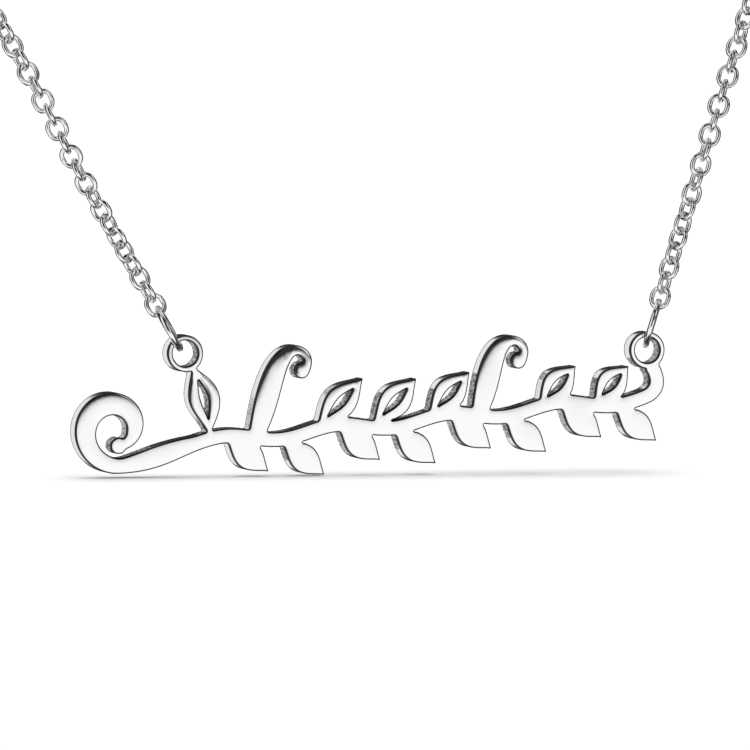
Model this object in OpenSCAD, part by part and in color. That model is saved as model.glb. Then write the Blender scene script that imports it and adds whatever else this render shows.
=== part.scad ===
// Nameplate necklace: a pierced scrollwork plate on a cable chain, worn round a neck.
// The plate stands in the XZ plane and faces -Y. The origin lies at the nape, in the clasp.

/* [Nameplate] */
// Distance between the centres of the two eyelets
eyelet_span = 32; // [30:0.5:34]
// Thickness of the plate
plate_t = 1.4; // [1:0.1:1.7]
// Angle at which the vine climbs to the right
rise_deg = 5; // [2:0.5:6]
// How far the middle of the vine lies below the eyelets
stem_drop = 4.6; // [4:0.1:5]
// Width of the vine's stem
stem_w = 1; // [0.8:0.05:1.15]
// How far the stem swings up and down
stem_wave = 0.3; // [0.2:0.02:0.5]
// Number of pairs of leaves
leaf_pairs = 8; // [6:1:9]
// Length of the first upper leaf
leaf_l = 5.2; // [4.5:0.1:5.3]
// How much shorter the last upper leaf is, as a share of the first
leaf_taper = 0.3; // [0.24:0.02:0.36]
// Width of an upper leaf
leaf_w = 2.15; // [1.95:0.05:2.4]
// Length of a lower leaf
low_leaf_l = 3.9; // [3.4:0.1:4.1]
// Width of a lower leaf
low_leaf_w = 1.95; // [1.75:0.05:2.2]
// Metal left on each side of an upper leaf's slit
leaf_rim = 0.78; // [0.7:0.02:0.84]
// Height of the tendrils above the stem
tendril_h = 5.8; // [5:0.1:6.2]
// Radius of a tendril's crook
tendril_r = 0.9; // [0.8:0.05:1]
// Radius of the big curl at the left end
curl_r = 2.5; // [2.3:0.1:2.7]
// How far the big curl lies beyond the left eyelet
curl_reach = 4.75; // [4.5:0.05:5.5]

/* [Eyelets] */
// Outer diameter of an eyelet
eyelet_d = 2.5; // [2.3:0.1:2.8]
// Diameter of the hole in an eyelet
eyelet_hole_d = 1.8; // [1.6:0.1:1.9]

/* [Jump rings] */
// Outer diameter of a jump ring
ring_d = 3.5; // [3.4:0.1:4]
// Wire of a jump ring
ring_wire = 0.4; // [0.3:0.05:0.45]

/* [Chain] */
// Distance from the middle of one link to the middle of the next, before it is evened out
link_pitch = 1.033; // [1:0.005:1.1]
// Outer width of a link
link_w = 1.5; // [1.45:0.01:1.55]
// Wire of a link
link_wire = 0.3; // [0.24:0.01:0.32]
// Angle that each link turns on from the one before it
link_turn = 84.7; // [80:0.1:95]
// Number of separate links at the front of each strand
front_links = 60; // [20:1:90]
// Diameter of the round envelope that stands for the links behind the neck
back_d = 1.5; // [1.2:0.1:1.8]

/* [Clasp] */
// Outer diameter of the clasp's ring
clasp_d = 5.8; // [5.4:0.1:6.4]
// Wire of the clasp's ring
clasp_wire = 1.1; // [0.9:0.05:1.2]
// Outer diameter of the small eye soldered to the clasp
clasp_eye_d = 2.4; // [2.2:0.1:2.8]
// Wire of the clasp's eye
clasp_eye_wire = 0.5; // [0.4:0.05:0.55]
// Outer diameter of the end ring that the clasp holds
end_ring_d = 3.9; // [3.7:0.1:4.4]
// Wire of the end ring
end_ring_wire = 0.5; // [0.4:0.05:0.55]

/* [Fit] */
// Clear space between two links
link_gap = 0.11; // [0.11:0.01:0.14]
// Clear space between a jump ring and the rim of its eyelet
rim_gap = 0.08; // [0.06:0.01:0.12]
// Clear space at the ends of the chain's back
end_gap = 0.3; // [0.2:0.05:0.4]

/* [Hidden] */
$fn = 72;

LEFT = -1;
RIGHT = 1;

// Middle between the eyelets, measured from the nape
plate_pos = [10, -108, -92];

// Chosen places of each strand between its eyelet and the nape: x, y, z
ROUTE_LEFT = [[-12.5, -107.6, -81], [-18.6, -107, -70], [-31.2, -102, -49], [-45, -89, -30],
              [-54, -70, -16], [-57, -48, -8], [-50, -25, -3], [-31, -8, -0.5]];
ROUTE_RIGHT = [[33.2, -107, -70], [41.5, -102, -49], [52.5, -89.5, -30], [60.5, -70, -16],
               [62, -48, -8], [54, -24.5, -3], [34, -8, -0.5]];
route_steps = 20;

// Roll of the first link of each strand, measured from flat against the plate
first_roll_left = 8;
first_roll_right = -40;
// Turn of each jump ring about its strand, measured in the same way
ring_roll_left = 75;
ring_roll_right = 71;

// Curves

function unit(v) = v / norm(v);
function normal2(v) = [-v[1], v[0]];
function blend(a, b, t) = a + (b - a) * t;
function bezier(p, t) =
    pow(1 - t, 3) * p[0] + 3 * t * pow(1 - t, 2) * p[1] + 3 * t * t * (1 - t) * p[2] + pow(t, 3) * p[3];
function catmull(a, b, c, d, t) =
    (2 * b + (c - a) * t + (2 * a - 5 * b + 4 * c - d) * t * t + (3 * b - a - 3 * c + d) * t * t * t) / 2;
function tangent(path, i) = unit(path[min(i + 1, len(path) - 1)] - path[max(i - 1, 0)]);
function spiral(centre, r0, r1, a0, a1, t) =
    let (r = r0 * pow(r1 / r0, t), a = a0 + (a1 - a0) * t) centre + r * [cos(a), sin(a)];

// A flat stroke of the plate, whose width changes along its centre line
module stroke(path, widths) {
    last = len(path) - 1;
    linear_extrude(plate_t) polygon(concat(
        [for (i = [0 : last]) path[i] + normal2(tangent(path, i)) * widths[i] / 2],
        [for (i = [last : -1 : 0]) path[i] - normal2(tangent(path, i)) * widths[i] / 2]));
}

// Nameplate

eyelet_rim = (eyelet_d - eyelet_hole_d) / 2;
// How far inside the eyelets the stem's even stretch starts and ends
stem_inset_left = 0.8;
stem_inset_right = 0.4;
stem_x0 = -eyelet_span / 2 + stem_inset_left;
stem_x1 = eyelet_span / 2 - stem_inset_right;
stem_steps = 56;
function stem_pt(t) =
    let (x = blend(stem_x0, stem_x1, t))
    [x, x * tan(rise_deg) - stem_drop + stem_wave * sin(180 * leaf_pairs * t)];

// The big curl: where it starts at the bottom, how far it winds, its widths and its end ball
curl_rise = 1;
curl_start = -80;
curl_turn = -360;
curl_inner = 1.15;
curl_tip_w = 0.5;
curl_swell = 0.75;
curl_ball = 1.15;
curl_centre = [-eyelet_span / 2 - curl_reach, stem_pt(0)[1] + curl_rise];
curl_steps = 44;
curl_path = [for (i = [curl_steps : -1 : 0])
    spiral(curl_centre, curl_r, curl_inner, curl_start, curl_start + curl_turn, i / curl_steps)];
curl_widths = [for (i = [curl_steps : -1 : 0])
    let (t = i / curl_steps) blend(stem_w, curl_tip_w, t) + curl_swell * sin(180 * t)];

// The stroke that joins the curl to the stem, with the pull of its two ends
sweep_out = [1.9, 0.3];
sweep_in = [-2, -0.55];
sweep_swell = 0.4;
sweep_steps = 10;
sweep_ends = [spiral(curl_centre, curl_r, curl_inner, curl_start, 0, 0), stem_pt(0)];
sweep_path = [for (i = [1 : sweep_steps - 1])
    bezier([sweep_ends[0], sweep_ends[0] + sweep_out, sweep_ends[1] + sweep_in, sweep_ends[1]],
           i / sweep_steps)];

// The short stalk from the end of the stem up to the right eyelet, with the pull of its two ends
// and the place on the eyelet's rim where it arrives
stalk_meets = -75;
stalk_out = [1.3, 0.35];
stalk_in = [0.75, -1];
stalk_steps = 8;
right_eyelet = [eyelet_span / 2, 0];
left_eyelet = [-eyelet_span / 2, 0];
stalk_end = right_eyelet + (eyelet_d - eyelet_rim) / 2 * [cos(stalk_meets), sin(stalk_meets)];
stalk_path = [for (i = [1 : stalk_steps])
    bezier([stem_pt(1), stem_pt(1) + stalk_out, stalk_end + stalk_in, stalk_end], i / stalk_steps)];

vine_path = concat(curl_path, sweep_path, [for (i = [0 : stem_steps]) stem_pt(i / stem_steps)], stalk_path);
vine_widths = concat(
    curl_widths,
    [for (i = [1 : sweep_steps - 1]) stem_w * (1 + sweep_swell * sin(180 * i / sweep_steps))],
    [for (i = [0 : stem_steps]) stem_w],
    [for (i = [1 : stalk_steps]) stem_w]);

// A leaf lies along +X from its base and is drawn out to a point at both ends. The slit of an
// upper leaf is the same form, slimmer, between two shares of the length.
leaf_steps = 16;
slit_from = 0.24;
slit_to = 0.8;
leaf_fullness = 1.1;
leaf_point = 1.3;
function leaf_share(i) = (1 - cos(180 * i / leaf_steps)) / 2;
function leaf_half(t, w) = w / 2 * pow(max(0, sin(180 * pow(t, leaf_fullness))), leaf_point);
module leaf_form(l, w, bend = 0, from = 0, to = 1) {
    mid = [for (i = [0 : leaf_steps])
        let (t = blend(from, to, leaf_share(i))) l * [t, bend * sin(180 * t)]];
    polygon(concat(
        [for (i = [0 : leaf_steps])
            mid[i] + normal2(tangent(mid, i)) * leaf_half(leaf_share(i), w)],
        [for (i = [leaf_steps - 1 : -1 : 1])
            mid[i] - normal2(tangent(mid, i)) * leaf_half(leaf_share(i), w)]));
}
// How far the slits and holes are cut past both faces of the plate
cut_over = 1;
module leaf_or_slit(l, w, bend, slit) {
    if (slit) translate([0, 0, -cut_over]) linear_extrude(plate_t + 2 * cut_over)
        leaf_form(l, w - 2 * leaf_rim, bend, slit_from, slit_to);
    else linear_extrude(plate_t) leaf_form(l, w, bend);
}
module on_stem(t, lean) { translate(stem_pt(t)) rotate(lean) children(); }

// Pairs whose upper leaf makes room for a tendril, and its height as a share of the tallest
TENDRILS = [[1, 1], [5, 0.86]];

// How the leaves lean off the stem
upper_lean = 46;
lower_lean = -38;

// The leaf that carries the left eyelet reaches from the stem to the middle of its rim, and bends
// by a share of its length
carrier_meets = -62;
carrier_bend = -0.06;
carrier_from = stem_pt(0.03);
carrier_to = left_eyelet + (eyelet_d - eyelet_rim) / 2 * [cos(carrier_meets), sin(carrier_meets)];
carrier = carrier_to - carrier_from;
carrier_overlap = 0.2;

function has_tendril(pair) = len([for (row = TENDRILS) if (row[0] == pair) pair]) > 0;
module upper_leaves(slit) {
    for (pair = [1 : leaf_pairs - 1]) if (!has_tendril(pair))
        on_stem((pair + 0.12) / leaf_pairs, upper_lean) leaf_or_slit(
            leaf_l * (1 - leaf_taper * pair / (leaf_pairs - 1)), leaf_w, 0, slit);
    translate(carrier_from) rotate(atan2(carrier[1], carrier[0]))
        leaf_or_slit(norm(carrier) + carrier_overlap, leaf_w, carrier_bend, slit);
}
module lower_leaves() {
    for (pair = [0 : leaf_pairs - 1]) on_stem((pair + 0.5) / leaf_pairs, lower_lean)
        linear_extrude(plate_t) leaf_form(low_leaf_l, low_leaf_w);
}

// A tendril leaves the stem, swells, leans to the right and rolls over into a crook with a round bud
tendril_steps = 14;
tendril_lean = 0.5;
tendril_foot_w = 0.95;
tendril_tip_w = 0.65;
tendril_swell = 0.75;
crook_end = -60;
crook_inner = 0.62;
bud_d = 1.15;
module tendril(pair, height) {
    foot = stem_pt((pair + 0.05) / leaf_pairs);
    top = foot + height * [tendril_lean, 1];
    rise = [for (i = [0 : tendril_steps])
        bezier([foot, foot + height * [0.16, 0.42], top - [1.9 * tendril_r, 0], top], i / tendril_steps)];
    crook = [for (i = [1 : tendril_steps])
        spiral(top - [0, tendril_r], tendril_r, crook_inner * tendril_r, 90, crook_end, i / tendril_steps)];
    stroke(concat(rise, crook), concat(
        [for (i = [0 : tendril_steps])
            let (t = i / tendril_steps)
            blend(tendril_foot_w, tendril_tip_w, t) + tendril_swell * sin(180 * pow(t, 0.8))],
        [for (i = [1 : tendril_steps]) tendril_tip_w]));
    translate(crook[len(crook) - 1]) cylinder(d = bud_d, h = plate_t);
}

module plate() {
    difference() {
        union() {
            union() {
                stroke(vine_path, vine_widths);
                upper_leaves(false);
            }
            lower_leaves();
            translate(curl_path[0]) cylinder(d = curl_ball, h = plate_t);
            for (row = TENDRILS) tendril(row[0], row[1] * tendril_h);
            for (p = [left_eyelet, right_eyelet]) translate(p) cylinder(d = eyelet_d, h = plate_t);
        }
        upper_leaves(true);
        for (p = [left_eyelet, right_eyelet])
            translate([p[0], p[1], -cut_over]) cylinder(d = eyelet_hole_d, h = plate_t + 2 * cut_over);
    }
}

// Chain route

function eyelet_pos(side) = plate_pos + [side * eyelet_span / 2, 0, 0];
clasp_eye_x = (clasp_d + clasp_eye_d) / 2 - (clasp_wire + clasp_eye_wire) / 4;
end_ring_x = clasp_d / 2 - clasp_wire + end_ring_d / 2 - end_ring_wire - 2 * link_gap;
link_l = link_pitch + 2 * link_wire + link_gap;
hook = link_l / 2 - link_wire - link_gap;
function back_end_x(side) = side == LEFT
    ? -(clasp_eye_x + clasp_eye_d / 2)
    : end_ring_x + end_ring_d / 2;
function last_link_x(side) = back_end_x(side) - side * (side == LEFT ? clasp_eye_wire : end_ring_wire)
    + side * hook;
function route(side) = concat(
    [eyelet_pos(side)], side == LEFT ? ROUTE_LEFT : ROUTE_RIGHT, [[last_link_x(side), 0, 0]]);
function dense(p) = let (n = len(p) - 1) concat(
    [for (i = [0 : n - 1]) for (k = [0 : route_steps - 1])
        catmull(i > 0 ? p[i - 1] : 2 * p[0] - p[1], p[i], p[i + 1],
                i < n - 1 ? p[i + 2] : [2 * p[n][0] - p[n - 1][0], p[n - 1][1], p[n - 1][2]],
                k / route_steps)],
    [p[n]]);
function runs(q) =
    [for (i = 0, s = 0; i < len(q);
          i = i + 1, s = s + (i < len(q) ? norm(q[i] - q[i - 1]) : 0)) s];
function across(v, t) = unit(v - (v * t) * t);
function outwards(q) =
    [for (i = 0, v = across([0, -1, 0], tangent(q, 0)); i < len(q);
          i = i + 1, v = i < len(q) ? across(v, tangent(q, i)) : v) v];
function table(s, rows, k) = [for (i = [0 : len(s) - 1]) [s[i], rows[i][k]]];
function tables(s, rows) = [for (k = [0 : 2]) table(s, rows, k)];
function at(s, t) = [for (k = [0 : 2]) lookup(s, t[k])];

path_left = dense(route(LEFT));
path_right = dense(route(RIGHT));
run_left = runs(path_left);
run_right = runs(path_right);
place_left = tables(run_left, path_left);
place_right = tables(run_right, path_right);
out_left = tables(run_left, outwards(path_left));
out_right = tables(run_right, outwards(path_right));
function place(side, s) = at(s, side == LEFT ? place_left : place_right);
half_chord = 0.5;
function heading(side, s) = unit(place(side, s + half_chord) - place(side, s - half_chord));
function outward(side, s) = across(at(s, side == LEFT ? out_left : out_right), heading(side, s));
function strand_length(side) = side == LEFT ? run_left[len(run_left) - 1] : run_right[len(run_right) - 1];

// Jump ring: how far its centre lies from the eyelet's, so that it clears the corners of the
// hole, which lie lower to the side of the wire than above it
ring_clear = ring_d / 2 - ring_wire - rim_gap;
function wire_side(roll) = ring_wire / 2 + plate_t / 2 / tan(roll);
function ring_reach(roll) = sqrt(pow(eyelet_hole_d / 2, 2) - pow(wire_side(roll), 2))
    + sqrt(pow(ring_clear, 2) - pow(plate_t / 2 / sin(roll), 2));
function first_link(side) =
    ring_reach(side == LEFT ? ring_roll_left : ring_roll_right) + ring_d / 2 - ring_wire + hook;

// The pitch is set so that a whole number of links fills each strand
function link_count(side) = round((strand_length(side) - first_link(side)) / link_pitch) + 1;
function true_pitch(side) = (strand_length(side) - first_link(side)) / (link_count(side) - 1);
function link_run(side, i) = first_link(side) + i * true_pitch(side);
function link_roll(side, i) = side == LEFT
    ? first_roll_left - link_turn * i
    : first_roll_right + link_turn * i;

// Sets a shape down at a run of a strand, its X along the strand and its Y turned by roll
module on_strand(side, s, roll) {
    x = heading(side, s);
    back = -outward(side, s);
    y = cos(roll) * cross(back, x) + sin(roll) * back;
    z = cross(x, y);
    p = place(side, s);
    multmatrix([[x[0], y[0], z[0], p[0]], [x[1], y[1], z[1], p[1]], [x[2], y[2], z[2], p[2]], [0, 0, 0, 1]])
        children();
}

module torus(d, wire) { rotate_extrude() translate([(d - wire) / 2, 0]) circle(d = wire); }

// Oval link: two half rings and the two short straight sides between them
module link() {
    straight = link_l - link_w;
    for (turn = [0, 180]) rotate([0, 0, turn]) {
        translate([straight / 2, 0, 0]) rotate([0, 0, -90])
            rotate_extrude(angle = 180) translate([(link_w - link_wire) / 2, 0]) circle(d = link_wire);
        translate([-straight / 2, (link_w - link_wire) / 2, 0]) rotate([0, 90, 0])
            cylinder(d = link_wire, h = straight);
    }
}

module chain_front(side) {
    for (i = [0 : front_links - 1]) on_strand(side, link_run(side, i), link_roll(side, i)) link();
}

module jump_ring(side) {
    roll = side == LEFT ? ring_roll_left : ring_roll_right;
    on_strand(side, ring_reach(roll), roll) torus(ring_d, ring_wire);
}

// The links behind the neck, as one round envelope swept along the same route
back_sides = 8;
back_rings = 40;
module chain_back(side) {
    start = link_run(side, front_links - 1) + link_l / 2 + end_gap;
    end = strand_length(side) + hook - end_gap - (side == LEFT ? clasp_eye_wire : end_ring_wire);
    last = back_rings - 1;
    rings = [for (i = [0 : last])
        let (s = blend(start, end, i / last),
             p = place(side, s), a = outward(side, s), b = cross(heading(side, s), a))
        [for (k = [0 : back_sides - 1])
            p + back_d / 2 * (cos(360 * k / back_sides) * a + sin(360 * k / back_sides) * b)]];
    polyhedron(
        points = [for (ring = rings) for (p = ring) p],
        faces = concat(
            [[for (k = [0 : back_sides - 1]) k]],
            [for (i = [0 : last - 1]) for (k = [0 : back_sides - 1])
                let (n = (k + 1) % back_sides, a = i * back_sides, b = a + back_sides)
                [a + k, b + k, b + n, a + n]],
            [[for (k = [back_sides - 1 : -1 : 0]) last * back_sides + k]]));
}

// Sub-parts

module nameplate() {
    color("silver") translate(plate_pos + [0, plate_t / 2, 0]) rotate([90, 0, 0]) plate();
}
module jump_ring_left() { color("silver") jump_ring(LEFT); }
module jump_ring_right() { color("silver") jump_ring(RIGHT); }
module chain_left() { color("silver") chain_front(LEFT); }
module chain_right() { color("silver") chain_front(RIGHT); }
module chain_back_left() { color("silver") chain_back(LEFT); }
module chain_back_right() { color("silver") chain_back(RIGHT); }
module clasp() {
    color("silver") rotate([90, 0, 0]) {
        torus(clasp_d, clasp_wire);
        translate([-clasp_eye_x, 0, 0]) torus(clasp_eye_d, clasp_eye_wire);
    }
}
module end_ring() { color("silver") translate([end_ring_x, 0, 0]) torus(end_ring_d, end_ring_wire); }

nameplate();
jump_ring_left();
jump_ring_right();
chain_left();
chain_right();
chain_back_left();
chain_back_right();
clasp();
end_ring();
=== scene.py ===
import math
import random

import bpy
import numpy as np
from mathutils import Matrix, Vector, kdtree
from mathutils.geometry import delaunay_2d_cdt


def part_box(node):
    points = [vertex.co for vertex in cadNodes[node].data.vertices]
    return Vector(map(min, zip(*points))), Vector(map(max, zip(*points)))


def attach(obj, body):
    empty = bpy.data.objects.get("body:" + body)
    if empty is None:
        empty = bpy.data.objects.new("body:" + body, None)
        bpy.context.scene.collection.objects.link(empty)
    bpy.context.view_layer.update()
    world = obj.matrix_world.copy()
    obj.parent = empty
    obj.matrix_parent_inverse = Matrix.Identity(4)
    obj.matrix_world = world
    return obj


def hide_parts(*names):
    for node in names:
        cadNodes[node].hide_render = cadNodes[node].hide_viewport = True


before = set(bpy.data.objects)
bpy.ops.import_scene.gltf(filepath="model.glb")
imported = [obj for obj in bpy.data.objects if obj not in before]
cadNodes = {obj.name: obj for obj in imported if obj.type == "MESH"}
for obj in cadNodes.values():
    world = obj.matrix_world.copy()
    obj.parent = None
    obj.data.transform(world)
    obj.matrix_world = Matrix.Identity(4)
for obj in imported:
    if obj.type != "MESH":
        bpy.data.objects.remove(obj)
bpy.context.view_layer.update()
mm = 0.001
print("frame in place:", len(cadNodes), "CAD pieces")


# Camera, floor and light

cameraSetup = {
    "azimuth": -17.0,  # degrees, minus is from the left of the plate
    "elevation": 3.2,
    "roll": 0.5,
    "distance": 700,  # mm
    "lens": 507.6,  # mm
    "sensor": 36,
    "clip": (0.01, 50),  # metres
    "target": (7.24, -108, -93.56),  # mm
}

stageSetup = {
    "floorGap": 0.05,  # mm of air under the lowest point of the plate
    "floorRadius": 4000,
    "floorSides": 96,
    "domeRadius": 9000,
    "domeRows": 16,
    "domeColumns": 48,
    "floorColor": (0.7, 0.7, 0.705, 1),
    "floorRoughness": 0.6,
    "floorGlow": 0.07,  # a faint light table under the paper
    "backdropLight": 1.05,
}

lightSetup = {
    "sunStrength": 3.4,
    "sunAngle": 96,  # degrees across, as wide as a ceiling of cloth, so the shadow is soft
    "sunElevation": 86,
    "sunAzimuth": 160,
    "roomLevel": 0.03,
    # each panel: centre and half width in azimuth, lower and upper edge in elevation,
    # soft edge, level
    "panels": [
        (26, 23, -56, 6, 11, 0.98),  # the card that the flat face mirrors
        (42, 14, 16, 48, 6, 0.95),
        (-64, 20, -56, 54, 6, 0.98),
        (-18, 30, -54, -15, 5, 0.95),  # the table in front
        (0, 181, 72, 95, 5, 0.7),
        (-167, 18, -45, 60, 4, 0.78),  # behind, for the walls that face left
        (112, 9, -50, 60, 4, 0.3),
        (135, 28, 25, 60, 8, 0.9),  # the rest is for the back of the piece
        (135, 28, -65, -17, 8, 0.9),
        (-145, 18, 25, 60, 8, 0.7),
        (-145, 18, -65, -22, 8, 0.6),
    ],
}


def unitVector(azimuth, elevation):
    a, e = math.radians(azimuth), math.radians(elevation)
    return Vector((math.sin(a) * math.cos(e), -math.cos(a) * math.cos(e), math.sin(e)))


def addCamera(setup):
    back = unitVector(setup["azimuth"], setup["elevation"])
    turn = math.radians(setup["azimuth"])
    right = Vector((math.cos(turn), math.sin(turn), 0))
    up = back.cross(right)
    roll = math.radians(setup["roll"])
    rolledRight = math.cos(roll) * right + math.sin(roll) * up
    rolledUp = back.cross(rolledRight)
    data = bpy.data.cameras.new("photoCamera")
    data.lens = setup["lens"]
    data.sensor_width = setup["sensor"]
    data.clip_start, data.clip_end = setup["clip"]
    camera = bpy.data.objects.new("photoCamera", data)
    place = Vector(setup["target"]) * mm + back * setup["distance"] * mm
    camera.matrix_world = Matrix((
        (rolledRight.x, rolledUp.x, back.x, place.x),
        (rolledRight.y, rolledUp.y, back.y, place.y),
        (rolledRight.z, rolledUp.z, back.z, place.z),
        (0, 0, 0, 1)))
    bpy.context.scene.collection.objects.link(camera)
    bpy.context.scene.camera = camera


def newNode(tree, kind, inputs=None, **settings):
    node = tree.nodes.new(kind)
    for name, value in settings.items():
        setattr(node, name, value)
    for name, value in (inputs or {}).items():
        if isinstance(value, bpy.types.NodeSocket):
            tree.links.new(value, node.inputs[name])
        else:
            node.inputs[name].default_value = value
    return node


def toSurface(tree, shader, kind="ShaderNodeOutputMaterial"):
    output = newNode(tree, kind)
    tree.links.new(shader.outputs[0], output.inputs["Surface"])


def math2(tree, operation, a, b=0.0, c=0.0):
    return newNode(tree, "ShaderNodeMath", {0: a, 1: b, 2: c}, operation=operation).outputs[0]


def softRange(tree, value, low, high, toLow=0.0, toHigh=1.0):
    return newNode(tree, "ShaderNodeMapRange", {
        "Value": value, "From Min": low, "From Max": high, "To Min": toLow, "To Max": toHigh},
        interpolation_type="SMOOTHSTEP").outputs[0]


def addRoomLight(setup):
    world = bpy.data.worlds.new("studioRoom")
    world.use_nodes = True
    bpy.context.scene.world = world
    tree = world.node_tree
    tree.nodes.clear()
    direction = newNode(tree, "ShaderNodeTexCoord").outputs["Generated"]
    axes = newNode(tree, "ShaderNodeSeparateXYZ", {0: direction})
    front = math2(tree, "MULTIPLY", axes.outputs["Y"], -1.0)
    azimuth = math2(tree, "ARCTAN2", axes.outputs["X"], front)
    elevation = math2(tree, "ARCSINE", axes.outputs["Z"])
    level = None
    for centre, half, low, high, soft, strength in setup["panels"]:
        half, low, high, edge = (math.radians(angle) for angle in (half, low, high, soft))
        turned = math2(tree, "SUBTRACT", azimuth, math.radians(centre))
        wrapped = math2(tree, "WRAP", turned, math.pi, -math.pi)
        offset = math2(tree, "ABSOLUTE", wrapped)
        wide = softRange(tree, offset, half - edge, half + edge, 1.0, 0.0)
        above = softRange(tree, elevation, low - edge, low + edge)
        below = softRange(tree, elevation, high - edge, high + edge, 1.0, 0.0)
        tall = math2(tree, "MULTIPLY", above, below)
        panel = math2(tree, "MULTIPLY", math2(tree, "MULTIPLY", wide, tall), strength)
        level = panel if level is None else math2(tree, "MAXIMUM", level, panel)
    level = math2(tree, "ADD", level, setup["roomLevel"])
    background = newNode(tree, "ShaderNodeBackground", {"Color": (1, 1, 1, 1), "Strength": level})
    toSurface(tree, background, "ShaderNodeOutputWorld")


def addSun(setup):
    data = bpy.data.lights.new("softSun", "SUN")
    data.energy = setup["sunStrength"]
    data.angle = math.radians(setup["sunAngle"])
    sun = bpy.data.objects.new("softSun", data)
    towards = unitVector(setup["sunAzimuth"], setup["sunElevation"])
    sun.rotation_euler = towards.to_track_quat("Z", "Y").to_euler()
    sun.visible_glossy = False
    bpy.context.scene.collection.objects.link(sun)


def meshObject(name, points, faces, material, smooth=True):
    data = bpy.data.meshes.new(name)
    data.from_pydata([tuple(p) for p in points], [], faces)
    data.update()
    if smooth:
        data.polygons.foreach_set("use_smooth", [True] * len(data.polygons))
    for m in (material if isinstance(material, list) else [material]):
        data.materials.append(m)
    piece = bpy.data.objects.new(name, data)
    bpy.context.scene.collection.objects.link(piece)
    return piece


def newMaterial(name):
    material = bpy.data.materials.new(name)
    material.use_nodes = True
    material.node_tree.nodes.clear()
    return material, material.node_tree


def addStage(setup, floorHeight):
    paper, tree = newMaterial("whitePaper")
    shader = newNode(tree, "ShaderNodeBsdfPrincipled", {
        "Base Color": setup["floorColor"], "Roughness": setup["floorRoughness"],
        "Specular IOR Level": 0.0,
        "Emission Color": (1, 1, 1, 1), "Emission Strength": setup["floorGlow"]})
    toSurface(tree, shader)
    sides = setup["floorSides"]
    radius = setup["floorRadius"] * mm
    turns = [math.tau * k / sides for k in range(sides)]
    ring = [(radius * math.cos(a), radius * math.sin(a), floorHeight) for a in turns]
    floor = meshObject("floor", ring, [tuple(range(sides))], paper, smooth=False)
    floor.visible_glossy = False  # the metal mirrors the cards, not the floor

    glow, tree = newMaterial("backdropWhite")
    shader = newNode(tree, "ShaderNodeEmission", {"Strength": setup["backdropLight"]})
    toSurface(tree, shader)
    radius = setup["domeRadius"] * mm
    rows, columns = setup["domeRows"], setup["domeColumns"]
    points = [(radius * math.sin(math.pi * r / rows) * math.cos(math.tau * c / columns),
               radius * math.sin(math.pi * r / rows) * math.sin(math.tau * c / columns),
               radius * math.cos(math.pi * r / rows))
              for r in range(rows + 1) for c in range(columns)]
    faces = [(r * columns + c, r * columns + (c + 1) % columns,
              (r + 1) * columns + (c + 1) % columns, (r + 1) * columns + c)
             for r in range(rows) for c in range(columns)]
    dome = meshObject("dome", points, faces, glow)
    dome.visible_diffuse = False
    dome.visible_glossy = False
    dome.visible_transmission = False
    dome.visible_shadow = False


plateLow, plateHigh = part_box("nameplate")
addCamera(cameraSetup)
addStage(stageSetup, plateLow.z - stageSetup["floorGap"] * mm)
addRoomLight(lightSetup)
addSun(lightSetup)
bpy.context.scene.view_settings.view_transform = "Standard"
print("camera, floor and light set")


# Finishes

finishSetup = {
    "faceColor": (0.955, 0.955, 0.96, 1),
    "wireColor": (0.93, 0.93, 0.935, 1),
    "wallColor": (0.8, 0.8, 0.805, 1),
    "faceRoughness": (0.035, 0.075),
    "wireRoughness": (0.035, 0.09),
    "wallRoughness": (0.16, 0.42),
    "wallShade": 0.12,  # of the dark flecks in a grainy wall
    "paintedEdgeShade": 0.07,  # painted shade: the dark line along every sawn edge, standing in for the dark room it mirrors
    "paintedEdgeRange": (0.1, 0.6),
    "backRoughness": (0.3, 0.42),
    "noiseRoughness": 0.55,
    "waveSize": 6.5,  # mm, the slow unevenness that hand polishing leaves
    "waveHeight": 0.11,
    "smudgeSize": 1.7,  # mm, patches where the polish is a little less bright
    "smudgeRange": (0.3, 0.7),
    "scratchSize": 0.05,
    "scratchHeight": 0.0006,
    "scratchStretch": 0.12,
    "grainSize": 0.12,
    "grainHeight": 0.02,
    "grainStretch": 0.3,  # the saw drew the grain out through the plate
    "openGrain": 0.06,  # what polishing leaves of the grain on an open wall
    "fleckSize": 1.3,  # of the grain's size
    "fleckRange": (0.4, 0.62),
}


def millimetres(tree, stretch=(1, 1, 1)):
    place = newNode(tree, "ShaderNodeTexCoord").outputs["Object"]
    scale = [s / mm for s in stretch]
    return newNode(tree, "ShaderNodeMapping", {"Vector": place, "Scale": scale}).outputs[0]


def noise(tree, place, size, detail):
    return newNode(tree, "ShaderNodeTexNoise", {
        "Vector": place, "Scale": 1.0 / size, "Detail": detail,
        "Roughness": finishSetup["noiseRoughness"]}).outputs[0]


def bump(tree, height, depth, under=None):
    node = newNode(tree, "ShaderNodeBump", {
        "Height": height, "Strength": 1.0, "Distance": depth * mm})
    if under is not None:
        tree.links.new(under, node.inputs["Normal"])
    return node.outputs[0]


def mixed(tree, share, a, b):
    node = newNode(tree, "ShaderNodeMix", data_type="RGBA")
    tree.links.new(share, node.inputs[0])
    for socket, value in ((node.inputs[6], a), (node.inputs[7], b)):
        if isinstance(value, bpy.types.NodeSocket):
            tree.links.new(value, socket)
        else:
            socket.default_value = value
    return node.outputs[2]


def withPaintedEdgeShade(tree, color):
    # paints shade into the colour: a dark line along the rolled edges, read from the point
    # attribute rim, standing in for the dark room mirrored there
    rim = newNode(tree, "ShaderNodeAttribute", attribute_name="rim").outputs["Fac"]
    share = softRange(tree, rim, *finishSetup["paintedEdgeRange"])
    shade = finishSetup["paintedEdgeShade"]
    return mixed(tree, share, color, (shade, shade, shade, 1))


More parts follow.
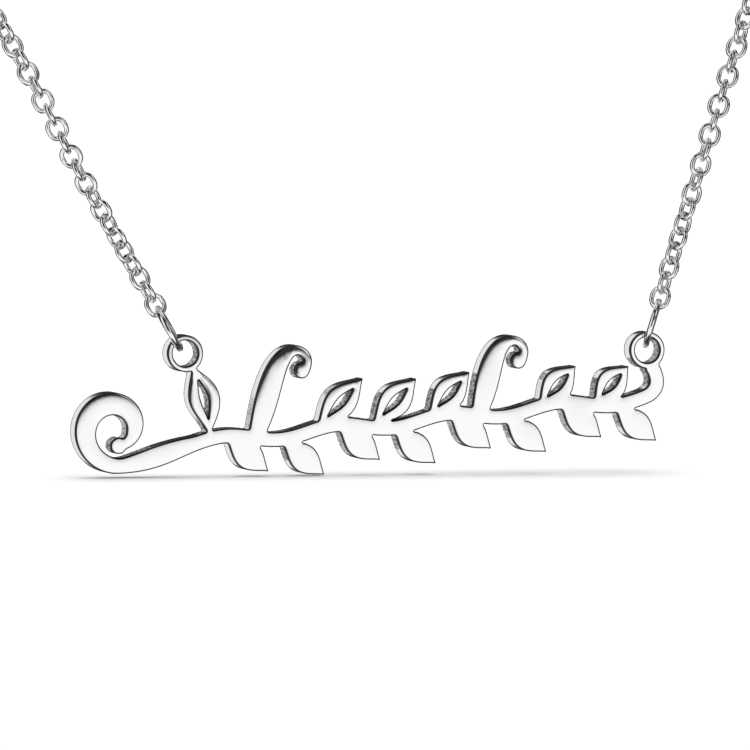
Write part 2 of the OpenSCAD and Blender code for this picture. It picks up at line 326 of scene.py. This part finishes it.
def polishedSilver(name, color, roughness, wave=False):
    material, tree = newMaterial(name)
    place = millimetres(tree)
    patches = noise(tree, place, finishSetup["smudgeSize"], 4.0)
    smudge = softRange(tree, patches, *finishSetup["smudgeRange"], *roughness)
    brushed = millimetres(tree, (1, 1, finishSetup["scratchStretch"]))
    scratches = noise(tree, brushed, finishSetup["scratchSize"], 3.0)
    normal = bump(tree, scratches, finishSetup["scratchHeight"])
    if wave:
        slow = noise(tree, place, finishSetup["waveSize"], 0.0)
        normal = bump(tree, slow, finishSetup["waveHeight"], normal)
    shader = newNode(tree, "ShaderNodeBsdfPrincipled", {
        "Base Color": withPaintedEdgeShade(tree, color), "Metallic": 1.0,
        "Roughness": smudge, "Normal": normal})
    toSurface(tree, shader)
    return material


def sawnSilver(name):
    # walls: grainy where the polishing wheel didn't reach, brighter and smoother where it did
    material, tree = newMaterial(name)
    place = millimetres(tree, (1, finishSetup["grainStretch"], 1))
    grain = noise(tree, place, finishSetup["grainSize"], 5.0)
    shelter = newNode(tree, "ShaderNodeAttribute", attribute_name="shelter").outputs["Fac"]
    rough = softRange(tree, shelter, 0.0, 1.0, *finishSetup["wallRoughness"])
    left = softRange(tree, shelter, 0.0, 1.0, finishSetup["openGrain"], 1.0)
    height = math2(tree, "MULTIPLY", grain, left)
    spots = noise(tree, place, finishSetup["grainSize"] * finishSetup["fleckSize"], 3.0)
    flecks = softRange(tree, spots, *finishSetup["fleckRange"])
    shade = finishSetup["wallShade"]
    grey = mixed(tree, flecks, (shade, shade, shade, 1), finishSetup["wallColor"])
    color = withPaintedEdgeShade(tree, mixed(tree, shelter, finishSetup["faceColor"], grey))
    shader = newNode(tree, "ShaderNodeBsdfPrincipled", {
        "Base Color": color, "Metallic": 1.0, "Roughness": rough,
        "Normal": bump(tree, height, finishSetup["grainHeight"])})
    toSurface(tree, shader)
    return material


faceSilver = polishedSilver(
    "faceSilver", finishSetup["faceColor"], finishSetup["faceRoughness"], wave=True)
wireSilver = polishedSilver("wireSilver", finishSetup["wireColor"], finishSetup["wireRoughness"])
wallSilver = sawnSilver("wallSilver")
backSilver = polishedSilver("backSilver", finishSetup["wireColor"], finishSetup["backRoughness"])
print("finishes made")


# The route of each strand, from its eyelet round to the nape, in millimetres

routeSetup = {
    "plateMiddle": (10, -108, -92),
    "eyeletSpan": 32,
    "left": [(-12.5, -107.6, -81), (-18.6, -107, -70), (-31.2, -102, -49), (-45, -89, -30),
             (-54, -70, -16), (-57, -48, -8), (-50, -25, -3), (-31, -8, -0.5)],
    "right": [(33.2, -107, -70), (41.5, -102, -49), (52.5, -89.5, -30), (60.5, -70, -16),
              (62, -48, -8), (54, -24.5, -3), (34, -8, -0.5)],
    "stepsPerSpan": 20,
    "halfChord": 0.5,
}

chainSetup = {
    "pitch": 1.033,
    "width": 1.5,
    "wire": 0.3,  # of the solid links, which lie cadGap clear of each other
    "cadGap": 0.11,
    "turn": 84.7,  # degrees from one link to the next
    "firstRoll": {"left": 8, "right": -40},
    "shownWire": 0.335,  # thicker than the solid links' wire, so the links bear on each other
    "play": 0.004,
    "rollJitter": 2.5,  # degrees
    "tiltJitter": 1.6,
    "lengthSteps": 30,
    "wireSides": 12,
    "seamSwell": 0.07,
    "seed": 11,
}


def unit(v):
    return v / np.linalg.norm(v)


def runLengths(points):
    # the length along a line of points, at each of them
    return np.concatenate(([0], np.cumsum(np.linalg.norm(np.diff(points, axis=0), axis=1))))


def catmull(a, b, c, d, t):
    square = 2 * a - 5 * b + 4 * c - d
    cube = 3 * b - a - 3 * c + d
    return (2 * b + (c - a) * t + square * t ** 2 + cube * t ** 3) / 2


def linkLength():
    return chainSetup["pitch"] + 2 * chainSetup["wire"] + chainSetup["cadGap"]


def hook():
    return linkLength() / 2 - chainSetup["wire"] - chainSetup["cadGap"]


def eyeX():
    # how far left of the nape's middle the clasp's soldered eye lies
    s = claspSetup
    return (s["outer"] + s["eyeOuter"]) / 2 - (s["wire"] + s["eyeWire"]) / 4


def endRingX():
    s = claspSetup
    held = s["endRingOuter"] / 2 - s["endRingWire"] - 2 * chainSetup["cadGap"]
    return s["outer"] / 2 - s["wire"] + held


def lastLinkX(side):
    s = claspSetup
    if side == "left":
        return -(eyeX() + s["eyeOuter"] / 2) + s["eyeWire"] - hook()
    return endRingX() + s["endRingOuter"] / 2 - s["endRingWire"] + hook()


class Strand:
    # places, headings and outward directions along one strand, by length from its eyelet

    def __init__(self, side):
        self.side = side
        sign = -1 if side == "left" else 1
        eyelet = np.array(routeSetup["plateMiddle"], float)
        eyelet[0] += sign * routeSetup["eyeletSpan"] / 2
        p = [eyelet] + [np.array(q, float) for q in routeSetup[side]]
        p.append(np.array((lastLinkX(side), 0, 0)))
        before = [2 * p[0] - p[1]] + p
        after = p + [np.array((2 * p[-1][0] - p[-2][0], p[-2][1], p[-2][2]))]
        steps = routeSetup["stepsPerSpan"]
        path = [catmull(before[i], p[i], p[i + 1], after[i + 2], k / steps)
                for i in range(len(p) - 1) for k in range(steps)]
        self.path = np.array(path + [p[-1]])
        self.run = runLengths(self.path)
        tangents = [unit(self.path[min(i + 1, len(self.path) - 1)] - self.path[max(i - 1, 0)])
                    for i in range(len(self.path))]
        outwards = [self.across(np.array((0.0, -1.0, 0.0)), tangents[0])]
        for t in tangents[1:]:
            outwards.append(self.across(outwards[-1], t))
        self.outwards = np.array(outwards)
        reach = ringReach(ringSetup["roll"][side])
        self.firstLink = reach + ringSetup["outer"] / 2 - ringSetup["wire"] + hook()
        self.count = round((self.run[-1] - self.firstLink) / chainSetup["pitch"]) + 1
        self.pitch = (self.run[-1] - self.firstLink) / (self.count - 1)

    @staticmethod
    def across(v, t):
        return unit(v - np.dot(v, t) * t)

    def between(self, s, values):
        return np.array([np.interp(s, self.run, values[:, k]) for k in range(3)])

    def place(self, s):
        return self.between(s, self.path)

    def heading(self, s):
        half = routeSetup["halfChord"]
        return unit(self.place(s + half) - self.place(s - half))

    def axes(self, s, roll):
        x = self.heading(s)
        back = -self.across(self.between(s, self.outwards), x)
        turn = math.radians(roll)
        y = math.cos(turn) * np.cross(back, x) + math.sin(turn) * back
        return self.place(s), np.array((x, y, np.cross(x, y)))

    def linkRoll(self, i):
        sign = -1 if self.side == "left" else 1
        return chainSetup["firstRoll"][self.side] + sign * chainSetup["turn"] * i


def ringReach(roll):
    r = math.radians(roll)
    half = ringSetup["plateThickness"] / 2
    beside = ringSetup["wire"] / 2 + half / math.tan(r)
    clear = ringSetup["outer"] / 2 - ringSetup["wire"] - ringSetup["rimGap"]
    return (math.sqrt((ringSetup["eyeletHole"] / 2) ** 2 - beside ** 2)
            + math.sqrt(clear ** 2 - (half / math.sin(r)) ** 2))


def sweptLoop(centres, sideways, upwards, radii, sides):
    # a closed tube: one ring of points round each centre
    turns = np.linspace(0, math.tau, sides, endpoint=False)
    spokes = (np.cos(turns)[None, :, None] * sideways[:, None]
              + np.sin(turns)[None, :, None] * upwards[:, None])
    rings = centres[:, None] + radii[:, None, None] * spokes
    n = len(centres)
    faces = [(i * sides + k, i * sides + (k + 1) % sides,
              ((i + 1) % n) * sides + (k + 1) % sides, ((i + 1) % n) * sides + k)
             for i in range(n) for k in range(sides)]
    return rings.reshape(-1, 3), faces


def ovalLine(length, width, steps):
    # centre line of an oval link in its own XY plane, evenly spaced along its two half rings
    # and its two straight sides
    radius = width / 2
    straight = length - width
    total = math.tau * radius + 2 * straight
    points, outs = [], []
    for i in range(steps):
        s = (i + 0.5) / steps * total
        half = total / 2
        flip = 1 if s < half else -1
        s = s % half
        if s < math.pi * radius:
            a = s / radius - math.pi / 2
            out = np.array((math.cos(a), math.sin(a), 0))
            p = out * radius + (straight / 2, 0, 0)
        else:
            out = np.array((0.0, 1.0, 0.0))
            p = np.array((straight / 2 - (s - math.pi * radius), radius, 0))
        points.append(flip * p)
        outs.append(flip * out)
    return np.array(points), np.array(outs)


def chainPiece(side):
    strand = Strand(side)
    wire = chainSetup["shownWire"]
    width = chainSetup["width"] - wire
    length = strand.pitch + wire + chainSetup["play"]
    line, outs = ovalLine(length, width, chainSetup["lengthSteps"])
    ups = np.tile((0.0, 0.0, 1.0), (len(line), 1))
    seamAt = np.argmin(np.linalg.norm(line - (0, width / 2, 0), axis=1))
    radii = np.full(len(line), wire / 2)
    radii[seamAt] *= 1 + chainSetup["seamSwell"]
    link, linkFaces = sweptLoop(line, outs, ups, radii, chainSetup["wireSides"])
    rng = random.Random(chainSetup["seed"] + len(side))
    points, faces = [], []
    for i in range(strand.count):
        roll = strand.linkRoll(i) + rng.uniform(-1, 1) * chainSetup["rollJitter"]
        place, axes = strand.axes(strand.firstLink + i * strand.pitch, roll)
        tilt = Matrix.Rotation(math.radians(rng.uniform(-1, 1) * chainSetup["tiltJitter"]), 3, "Z")
        flip = -1 if rng.random() < 0.5 else 1
        local = (link * (flip, flip, 1)) @ np.array(tilt).T
        start = len(points) * len(link)
        points.append((place + local @ axes) * mm)
        faces += [tuple(start + k for k in face) for face in linkFaces]
    piece = meshObject("chain_links_" + side, np.concatenate(points), faces, wireSilver)
    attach(piece, "root")
    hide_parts("chain_" + side, "chain_back_" + side)
    print(side, "strand:", strand.count, "links,", len(faces) * 2, "triangles")


ringSetup = {
    "outer": 3.5,
    "wire": 0.4,
    "shownWire": 0.43,
    "tighter": 0.05,  # off the radius, so the ring bears on its link and its eyelet
    "lift": 0.015,
    "rimGap": 0.08,
    "roll": {"left": 75, "right": 71},
    "eyeletHole": 1.8,
    "plateThickness": 1.4,
    "steps": 112,
    "wireSides": 20,
    "seam": 1 / 3,  # of the turn
    "seamDip": 0.1,
}


def roundRing(outer, wire, setup, seams=()):
    # a ring of round wire in its own XY plane, with a fine dip at each seam
    steps = setup["steps"]
    turns = np.linspace(0, math.tau, steps, endpoint=False)
    outs = np.stack((np.cos(turns), np.sin(turns), np.zeros(steps)), axis=1)
    radii = np.full(steps, wire / 2)
    for seam in seams:
        radii[round(seam * steps) % steps] *= 1 - setup["seamDip"]
    ups = np.tile((0.0, 0.0, 1.0), (steps, 1))
    return sweptLoop(outs * (outer - wire) / 2, outs, ups, radii, setup["wireSides"])


def jumpRingPiece(side):
    strand = Strand(side)
    roll = ringSetup["roll"][side]
    place, axes = strand.axes(ringReach(roll) + ringSetup["lift"], roll)
    thicker = ringSetup["shownWire"] - ringSetup["wire"]
    outer = ringSetup["outer"] + thicker - 2 * ringSetup["tighter"]
    points, faces = roundRing(outer, ringSetup["shownWire"], ringSetup, (ringSetup["seam"],))
    points = (place + points @ axes) * mm
    piece = meshObject("jump_ring_" + side + "_wire", points, faces, wireSilver)
    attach(piece, "root")
    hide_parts("jump_ring_" + side)


claspSetup = {
    "outer": 5.8,
    "wire": 1.1,
    "eyeOuter": 2.4,
    "eyeWire": 0.5,
    "endRingOuter": 3.9,
    "endRingWire": 0.5,
    "gateSeams": (0.08, 0.33),  # where the sliding gate starts and ends, as a share of the turn
    "endRingSeam": 0.3,
    "steps": 96,
    "wireSides": 20,
    "seamDip": 0.1,
}


def claspPieces(setup):
    # the clasp's ring and its soldered eye stand in the XZ plane, the end ring lies flat
    standing = np.array(((1.0, 0, 0), (0, 0, 1.0), (0, -1.0, 0)))
    ring, ringFaces = roundRing(setup["outer"], setup["wire"], setup, setup["gateSeams"])
    eye, eyeFaces = roundRing(setup["eyeOuter"], setup["eyeWire"], setup)
    points = np.concatenate((ring @ standing, eye @ standing - (eyeX(), 0, 0)))
    faces = ringFaces + [tuple(len(ring) + k for k in face) for face in eyeFaces]
    clasp = meshObject("clasp_ring", points * mm, faces, wireSilver)
    seams = (setup["endRingSeam"],)
    points, faces = roundRing(setup["endRingOuter"], setup["endRingWire"], setup, seams)
    endRing = meshObject("end_ring_wire", (points + (endRingX(), 0, 0)) * mm, faces, wireSilver)
    for piece, node in ((clasp, "clasp"), (endRing, "end_ring")):
        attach(piece, "root")
        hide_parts(node)


for side in ("left", "right"):
    chainPiece(side)
    jumpRingPiece(side)
claspPieces(claspSetup)
print("rings and clasp done")


# The plate: the CAD piece's own outline, smoothed, with rolled edges and grainy sawn walls

plateSetup = {
    "spacing": 0.1,  # mm between points along the outline
    "cornerAngle": 35,  # degrees of turn above which a corner stays one
    "shortest": 0.02,
    "softening": 2,  # passes that take the sharpness off corners
    "fairing": 12,  # passes on the rest of the outline
    "cornerReach": 4,  # points on each side of a corner that the fairing leaves alone
    "curveSteps": 8,  # from one knot of the outline to the next
    "edgeRadius": 0.055,
    "edgeSteps": 3,
    "edgeSlope": (0.09, 0.37),  # how steeply the face falls away at its edges: low down and high up
    "slopeWidth": 0.85,
    "highParts": (1.5, 4.6),  # mm above the stem over which the slope grows
    "topStart": 4.4,  # mm above the stem from where the tops fall back
    "topFall": 0.06,
    "eyeletCalm": 0.8,  # how much flatter the eyelets are
    "eyeletReach": (1.3, 2.0),  # mm from the middle of an eyelet
    "paintedEdgeLine": (0.05, 0.12),  # the painted shade line along the edges, standing in for the mirrored dark room, ends between these distances
    "rise": 5,  # degrees that the stem climbs
    "stemDrop": 4.6,  # mm from the eyelets' middle down to the stem
    "slopeRings": (0.11, 0.18, 0.26, 0.36),
    "ringHold": 0.93,  # a ring's point stays if this share of its inset is left to every edge
    "evenPasses": 6,
    "closest": 0.045,  # mm between two points inside, and less near the outline
    "edgeClosest": 0.02,
    "closestGrowth": 0.4,
    "gridStep": 0.2,
    "gridHold": 0.4,  # of a step between the last ring and the grid
    "wallRows": 5,
    "shelterNear": 1.2,
    "shelterFar": 3.6,
    "probeStart": 0.02,
}


def outlineLoops(node, depth, tolerance=1e-4):
    # boundary loops of the flat front of a CAD piece, in millimetres, as x and z
    data = node.data
    data.calc_loop_triangles()
    co = np.empty(len(data.vertices) * 3)
    data.vertices.foreach_get("co", co)
    co = co.reshape(-1, 3) / mm
    tris = np.empty(len(data.loop_triangles) * 3, int)
    data.loop_triangles.foreach_get("vertices", tris)
    tris = tris.reshape(-1, 3)
    flat = np.all(np.abs(co[tris][:, :, 1] - depth) < tolerance, axis=1)
    keys = [tuple(k) for k in np.round(co[:, (0, 2)], 3).tolist()]
    edges = set()
    for a, b, c in tris[flat]:
        for u, v in ((a, b), (b, c), (c, a)):
            edges.add((keys[u], keys[v]))
    follow = {u: v for u, v in edges if (v, u) not in edges and u != v}
    loops = []
    while follow:
        start, nextPoint = follow.popitem()
        loop = [start]
        while nextPoint != start:
            loop.append(nextPoint)
            nextPoint = follow.pop(nextPoint)
        loops.append(np.array(loop))
    return loops


def cleaned(loop, shortest):
    kept = [loop[0]]
    for p in loop[1:]:
        if np.linalg.norm(p - kept[-1]) >= shortest:
            kept.append(p)
    if np.linalg.norm(kept[0] - kept[-1]) < shortest:
        kept.pop()
    return np.array(kept)


def turnAngles(loop):
    into = loop - np.roll(loop, 1, axis=0)
    out = np.roll(loop, -1, axis=0) - loop
    cross = into[:, 0] * out[:, 1] - into[:, 1] * out[:, 0]
    return np.degrees(np.arctan2(cross, np.sum(into * out, axis=1)))


def evenly(points, spacing):
    run = runLengths(points)
    count = max(2, round(run[-1] / spacing))
    at = np.linspace(0, run[-1], count + 1)
    return np.stack([np.interp(at, run, points[:, k]) for k in (0, 1)], axis=1)


def curveThrough(points, closed, steps, least=1e-6):
    # dense smooth line through the points, with the knots spaced as the root of the distance
    if closed:
        p = np.concatenate((points[-1:], points, points[:2]))
    else:
        p = np.concatenate((2 * points[:1] - points[1:2], points, 2 * points[-1:] - points[-2:-1]))
    line = []
    for a, b, c, d in zip(p[:-3], p[1:-2], p[2:-1], p[3:]):
        t1 = max(np.linalg.norm(b - a), least) ** 0.5
        t2 = t1 + max(np.linalg.norm(c - b), least) ** 0.5
        t3 = t2 + max(np.linalg.norm(d - c), least) ** 0.5
        for t in np.linspace(t1, t2, steps, endpoint=False):
            ab = a + (b - a) * t / t1
            bc = b + (c - b) * (t - t1) / (t2 - t1)
            cd = c + (d - c) * (t - t2) / (t3 - t2)
            abc = ab + (bc - ab) * t / t2
            bcd = bc + (cd - bc) * (t - t1) / (t3 - t1)
            line.append(abc + (bcd - abc) * (t - t1) / (t2 - t1))
    line.append(p[-2])
    return np.array(line)


def smoothLoop(loop, setup):
    loop = cleaned(loop, setup["shortest"])
    corners = np.flatnonzero(np.abs(turnAngles(loop)) > setup["cornerAngle"])
    if len(corners) == 0:
        points = evenly(curveThrough(loop, True, setup["curveSteps"]), setup["spacing"])[:-1]
    else:
        loop = np.roll(loop, -corners[0], axis=0)
        corners = list(corners - corners[0]) + [len(loop)]
        loop = np.concatenate((loop, loop[:1]))
        points = np.concatenate([
            evenly(curveThrough(loop[a:b + 1], False, setup["curveSteps"]), setup["spacing"])[:-1]
            for a, b in zip(corners[:-1], corners[1:])])
    turned = np.abs(turnAngles(points)) > setup["cornerAngle"]
    near = np.zeros(len(points), bool)
    for shift in range(-setup["cornerReach"], setup["cornerReach"] + 1):
        near |= np.roll(turned, shift)
    for k in range(setup["softening"] + setup["fairing"]):
        even = (np.roll(points, 1, axis=0) + 2 * points + np.roll(points, -1, axis=0)) / 4
        points = even if k < setup["softening"] else np.where(near[:, None], points, even)
    return points


def outlineNormals(loop):
    # pointing away from the metal: loops run with the metal on the left as seen from the front
    along = np.roll(loop, -1, axis=0) - np.roll(loop, 1, axis=0)
    along /= np.linalg.norm(along, axis=1)[:, None]
    return np.stack((along[:, 1], -along[:, 0]), axis=1)


def insideMetal(points, starts, ends, batch=2000):
    # even-odd test against all outline edges
    result = np.zeros(len(points), bool)
    ab = ends - starts
    for part in range(0, len(points), batch):
        x = points[part:part + batch, 0, None]
        z = points[part:part + batch, 1, None]
        crosses = (starts[:, 1] > z) != (ends[:, 1] > z)
        with np.errstate(divide="ignore", invalid="ignore"):
            at = starts[:, 0] + (z - starts[:, 1]) * ab[:, 0] / ab[:, 1]
        result[part:part + batch] = np.sum(crosses & (x < at), axis=1) % 2 == 1
    return result


def edgeDistances(points, starts, ends):
    tree = kdtree.KDTree(len(starts))
    for i, p in enumerate(starts):
        tree.insert((p[0], p[1], 0), i)
    tree.balance()
    near = np.array([[hit[1] for hit in tree.find_n((p[0], p[1], 0), 3)] for p in points])
    best = np.full(len(points), np.inf)
    before = np.empty(len(starts), int)
    lookup = {tuple(e): i for i, e in enumerate(ends.tolist())}
    for i, s in enumerate(starts.tolist()):
        before[i] = lookup[tuple(s)]
    for column in range(near.shape[1]):
        for index in (near[:, column], before[near[:, column]]):
            a, b = starts[index], ends[index]
            ab = b - a
            t = np.clip(np.sum((points - a) * ab, axis=1) / np.sum(ab * ab, axis=1), 0, 1)
            best = np.minimum(best, np.linalg.norm(points - a - t[:, None] * ab, axis=1))
    return best


def shelterOf(points, normals, starts, ends, setup, batch=500):
    # how closely another wall faces each point of the outline: 1 in a narrow gap, 0 in the open
    result = np.zeros(len(points))
    ab = ends - starts
    for part in range(0, len(points), batch):
        n = normals[part:part + batch, None]
        p = points[part:part + batch, None] + n * setup["probeStart"]
        denominator = n[..., 0] * ab[:, 1] - n[..., 1] * ab[:, 0]
        ap = starts - p
        with np.errstate(divide="ignore", invalid="ignore"):
            reach = (ap[..., 0] * ab[:, 1] - ap[..., 1] * ab[:, 0]) / denominator
            share = (ap[..., 0] * n[..., 1] - ap[..., 1] * n[..., 0]) / denominator
        reach = np.where((reach > 0) & (share >= 0) & (share <= 1), reach, np.inf).min(axis=1)
        result[part:part + batch] = 1 - eased(reach, setup["shelterNear"], setup["shelterFar"])
    return result


def eased(value, low, high):
    t = np.clip((value - low) / (high - low), 0, 1)
    return t * t * (3 - 2 * t)


def rolledDepth(distance, setup):
    # how far the rounded edge lies behind the flat, by distance from the outline
    r = setup["edgeRadius"]
    inside = np.clip(r - distance, 0, r)
    return r - np.sqrt(np.maximum(r * r - inside * inside, 0))


def faceDepth(points, distance, setup):
    # the polished face also falls away towards its edges, most on the high parts, and at the tops
    x0, _, z0 = routeSetup["plateMiddle"]
    climb = (points[:, 0] - x0) * math.tan(math.radians(setup["rise"]))
    height = points[:, 1] - z0 + setup["stemDrop"] - climb
    low, high = setup["edgeSlope"]
    slope = low + (high - low) * eased(height, *setup["highParts"])
    width = setup["slopeWidth"]
    fall = setup["topFall"] * np.clip(height - setup["topStart"], 0, None) ** 2
    depth = fall + slope * width / 3 * np.clip(1 - distance / width, 0, 1) ** 3
    for side in (-1, 1):
        eyelet = side * routeSetup["eyeletSpan"] / 2
        reach = np.hypot(points[:, 0] - x0 - eyelet, points[:, 1] - z0)
        depth *= 1 - setup["eyeletCalm"] * (1 - eased(reach, *setup["eyeletReach"]))
    return rolledDepth(distance, setup) + depth


def keptApart(points, least, fixed):
    # leaves out each point that lies too close to one before it, except the first ones
    cell = float(least.max())
    cells = {}
    kept = np.ones(len(points), bool)
    for i, (x, z) in enumerate(points.tolist()):
        column, row = int(x // cell), int(z // cell)
        if i >= fixed:
            kept[i] = all((x - u) ** 2 + (z - v) ** 2 >= least[i] ** 2
                          for c in (column - 1, column, column + 1) for r in (row - 1, row, row + 1)
                          for u, v in cells.get((c, r), ()))
        if kept[i]:
            cells.setdefault((column, row), []).append((x, z))
    return kept


def softened(values, triangles, movable, passes):
    # evens a value out over the points of a mesh, where a point may move
    a = np.concatenate((triangles[:, 0], triangles[:, 1], triangles[:, 2]))
    b = np.concatenate((triangles[:, 1], triangles[:, 2], triangles[:, 0]))
    count = np.bincount(a, minlength=len(values)) + np.bincount(b, minlength=len(values))
    for _ in range(passes):
        total = (np.bincount(a, values[b], minlength=len(values))
                 + np.bincount(b, values[a], minlength=len(values)))
        even = (values + total / np.maximum(count, 1)) / 2
        values = np.where(movable & (count > 0), even, values)
    return values


def orientedLoops(setup):
    # the smoothed outline loops of the CAD plate, each with the metal on its left
    loops = [smoothLoop(l, setup) for l in outlineLoops(cadNodes["nameplate"], plateLow.y / mm)]
    areas = []
    for l in loops:
        after = np.roll(l, -1, axis=0)
        areas.append(np.sum(l[:, 0] * after[:, 1] - after[:, 0] * l[:, 1]) / 2)
    outer = int(np.argmax(np.abs(areas)))
    return [l if (area > 0) == (i == outer) else l[::-1]
            for i, (l, area) in enumerate(zip(loops, areas))]


def surfacePoints(starts, ends, normals, setup):
    # the outline's points first, then rings inside it and an even grid, with their distances
    rim = len(starts)
    r, count = setup["edgeRadius"], setup["edgeSteps"]
    insets = [r * (1 - math.cos(math.pi / 2 * (k + 1) / count)) for k in range(count)]
    insets += list(setup["slopeRings"])
    rings = np.concatenate([starts - normals * inset for inset in insets])
    ringDistance = edgeDistances(rings, starts, ends)
    ringKeep = ringDistance > np.repeat(insets, rim) * setup["ringHold"]
    ringKeep &= insideMetal(rings, starts, ends)
    low, high = starts.min(axis=0), starts.max(axis=0)
    step = setup["gridStep"]
    rowStep = step * math.sqrt(3) / 2
    grid = np.array([(low[0] + step * (i + 0.5 * (j % 2)), low[1] + rowStep * j)
                     for j in range(int((high[1] - low[1]) / rowStep) + 1)
                     for i in range(int((high[0] - low[0]) / step) + 1)])
    gridDistance = edgeDistances(grid, starts, ends)
    gridKeep = gridDistance > setup["slopeRings"][-1] + setup["gridHold"] * step
    gridKeep &= insideMetal(grid, starts, ends)
    points = np.concatenate((starts, rings[ringKeep], grid[gridKeep]))
    distance = np.concatenate((np.zeros(rim), ringDistance[ringKeep], gridDistance[gridKeep]))
    least = np.minimum(setup["closest"], setup["edgeClosest"] + setup["closestGrowth"] * distance)
    apart = keptApart(points, least, rim)
    return points[apart], distance[apart]


def surfaceTriangles(points, edges, starts, ends, tolerance=1e-7):
    # triangles over the metal only, counter-clockwise as seen from the front
    found = delaunay_2d_cdt([Vector(p) for p in points], edges, [], 0, tolerance)
    triangles = np.array(found[2])
    origin = np.array([o[0] if o else -1 for o in found[3]])
    added = int(np.sum(origin < 0))
    print("triangulated:", len(found[0]), "points,", len(triangles), "triangles, new", added)
    triangles = origin[triangles]
    triangles = triangles[np.all(triangles >= 0, axis=1)]
    triangles = triangles[insideMetal(points[triangles].mean(axis=1), starts, ends)]
    ab = points[triangles[:, 1]] - points[triangles[:, 0]]
    ac = points[triangles[:, 2]] - points[triangles[:, 0]]
    flip = ab[:, 0] * ac[:, 1] - ab[:, 1] * ac[:, 0] < 0
    triangles[flip] = triangles[flip][:, ::-1]
    return triangles


def platePiece(setup):
    loops = orientedLoops(setup)
    starts = np.concatenate(loops)
    ends = np.concatenate([np.roll(l, -1, axis=0) for l in loops])
    normals = np.concatenate([outlineNormals(l) for l in loops])
    rim = len(starts)
    print("outline:", len(loops), "loops,", rim, "points")

    edges, first = [], 0
    for l in loops:
        edges += [(first + i, first + (i + 1) % len(l)) for i in range(len(l))]
        first += len(l)
    points, distance = surfacePoints(starts, ends, normals, setup)
    triangles = surfaceTriangles(points, edges, starts, ends)

    depth = faceDepth(points, distance, setup)
    depth = softened(depth, triangles, distance > setup["slopeRings"][1], setup["evenPasses"])
    frontY = plateLow.y / mm + depth
    rearY = plateHigh.y / mm - rolledDepth(distance, setup)
    vertices = [np.stack((points[:, 0], y, points[:, 1]), axis=1) for y in (frontY, rearY)]
    top, bottom = frontY[:rim], rearY[:rim]
    for k in range(1, setup["wallRows"]):  # the wall's rows, from the front edge to the rear one
        y = top + (bottom - top) * k / setup["wallRows"]
        vertices.append(np.stack((starts[:, 0], y, starts[:, 1]), axis=1))
    vertices = np.concatenate(vertices)
    total = len(points)
    ladder = [0] + [2 * total + rim * k for k in range(setup["wallRows"] - 1)] + [total]
    # seen from the front the plate's x runs right and z up, so counter-clockwise faces -Y
    sheets = np.concatenate((triangles, triangles[:, ::-1] + total))
    faces = [tuple(face) for face in sheets.tolist()]
    for upper, lower in zip(ladder[:-1], ladder[1:]):
        faces += [(upper + a, lower + a, lower + b, upper + b) for a, b in edges]
    finishes = [faceSilver, wallSilver, backSilver]
    plate = meshObject("nameplate_dressed", vertices * mm, faces, finishes)
    finishOf = np.ones(len(faces), int)
    finishOf[:len(triangles)] = 0
    finishOf[len(triangles):len(sheets)] = 2
    plate.data.polygons.foreach_set("material_index", finishOf.tolist())

    shelter = np.zeros(len(vertices))
    wallShelter = shelterOf(starts, normals, starts, ends, setup)
    for first in ladder:
        shelter[first:first + rim] = wallShelter
    # painted shade: the point attribute rim darkens the colour along the rolled edges, standing in
    # for the dark room mirrored there
    paintedEdgeMask = np.zeros(len(vertices))
    paintedEdgeMask[:total] = 1 - eased(distance, *setup["paintedEdgeLine"])
    paintedEdgeMask[total:2 * total] = paintedEdgeMask[:total]
    paintedEdgeMask[total:total + rim] = 1 - wallShelter  # no painted shade line at the far edge of a narrow gap
    for name, values in (("shelter", shelter), ("rim", paintedEdgeMask)):
        layer = plate.data.attributes.new(name, "FLOAT", "POINT")
        layer.data.foreach_set("value", values.tolist())
    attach(plate, "root")
    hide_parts("nameplate")
    print("plate:", len(sheets) + 2 * (len(faces) - len(sheets)), "triangles")


platePiece(plateSetup)
